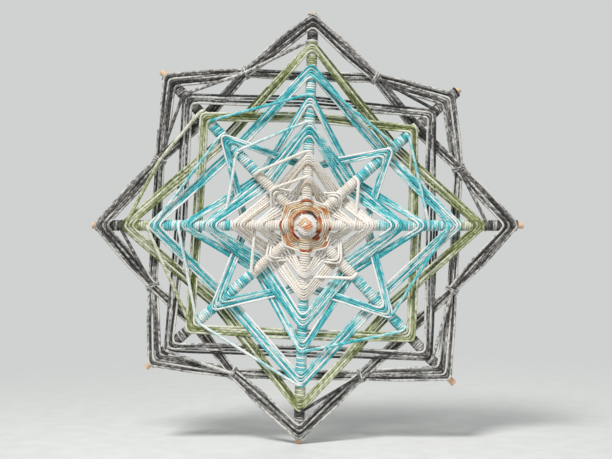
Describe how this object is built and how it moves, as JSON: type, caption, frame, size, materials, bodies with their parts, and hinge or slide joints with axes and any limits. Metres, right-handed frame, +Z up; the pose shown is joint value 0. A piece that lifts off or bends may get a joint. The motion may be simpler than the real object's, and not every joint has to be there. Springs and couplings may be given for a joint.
{
  "type": "ojo de dios",
  "caption": "Wall ornament of two crossed stick pairs wound with bands of coloured yarn that weave over their own spokes and behind the others.",
  "frame": {"origin": "on the axis of the hub, in the plane of the wall that the weave hangs against", "axes": "+X to the right along the level stick, +Y into the wall, +Z up; the woven front faces -Y"},
  "size_m": [0.3018, 0.0184, 0.3015],
  "materials": {
    "wood": "bare beech dowel, sawn ends",
    "white_yarn": "matt off-white cotton yarn",
    "orange_yarn": "matt orange and cream marled yarn",
    "cream_yarn": "matt cream yarn",
    "turquoise_yarn": "matt turquoise yarn marled with white",
    "green_yarn": "matt olive yarn marled with pale green",
    "grey_yarn": "matt charcoal yarn marled with light grey"
  },
  "bodies": {
    "root": {"cream_inner_diamond_band": "cream_yarn", "cream_outer_diamond_band": "cream_yarn", "cream_square_band": "cream_yarn", "cream_wrap_bottom": "cream_yarn", "cream_wrap_left": "cream_yarn", "cream_wrap_lower_left": "cream_yarn", "cream_wrap_lower_right": "cream_yarn", "cream_wrap_right": "cream_yarn", "cream_wrap_top": "cream_yarn", "cream_wrap_upper_left": "cream_yarn", "cream_wrap_upper_right": "cream_yarn", "eye_winding": "white_yarn", "falling_stick": "wood", "flower_winding": "orange_yarn", "green_diamond_band": "green_yarn", "green_square_band": "green_yarn", "green_wrap_bottom": "green_yarn", "green_wrap_left": "green_yarn", "green_wrap_lower_left": "green_yarn", "green_wrap_lower_right": "green_yarn", "green_wrap_right": "green_yarn", "green_wrap_top": "green_yarn", "green_wrap_upper_left": "green_yarn", "green_wrap_upper_right": "green_yarn", "grey_diamond_band": "grey_yarn", "grey_inner_square_band": "grey_yarn", "grey_outer_square_band": "grey_yarn", "grey_wrap_bottom": "grey_yarn", "grey_wrap_left": "grey_yarn", "grey_wrap_lower_left": "grey_yarn", "grey_wrap_lower_right": "grey_yarn", "grey_wrap_right": "grey_yarn", "grey_wrap_top": "grey_yarn", "grey_wrap_upper_left": "grey_yarn", "grey_wrap_upper_right": "grey_yarn", "hub_lashing": "cream_yarn", "level_stick": "wood", "rising_stick": "wood", "tie_bottom_lower_right": "grey_yarn", "tie_left_lower_left": "grey_yarn", "tie_lower_left_bottom": "grey_yarn", "tie_lower_right_right": "grey_yarn", "tie_right_upper_right": "grey_yarn", "tie_top_upper_left": "grey_yarn", "tie_upper_left_left": "grey_yarn", "tie_upper_right_top": "grey_yarn", "turquoise_diagonal_star_band": "turquoise_yarn", "turquoise_inner_diamond_band": "turquoise_yarn", "turquoise_outer_diamond_band": "turquoise_yarn", "turquoise_upright_star_band": "turquoise_yarn", "turquoise_wrap_bottom": "turquoise_yarn", "turquoise_wrap_left": "turquoise_yarn", "turquoise_wrap_lower_left": "turquoise_yarn", "turquoise_wrap_lower_right": "turquoise_yarn", "turquoise_wrap_right": "turquoise_yarn", "turquoise_wrap_top": "turquoise_yarn", "turquoise_wrap_upper_left": "turquoise_yarn", "turquoise_wrap_upper_right": "turquoise_yarn", "upright_stick": "wood"}
  },
  "joints": []
}
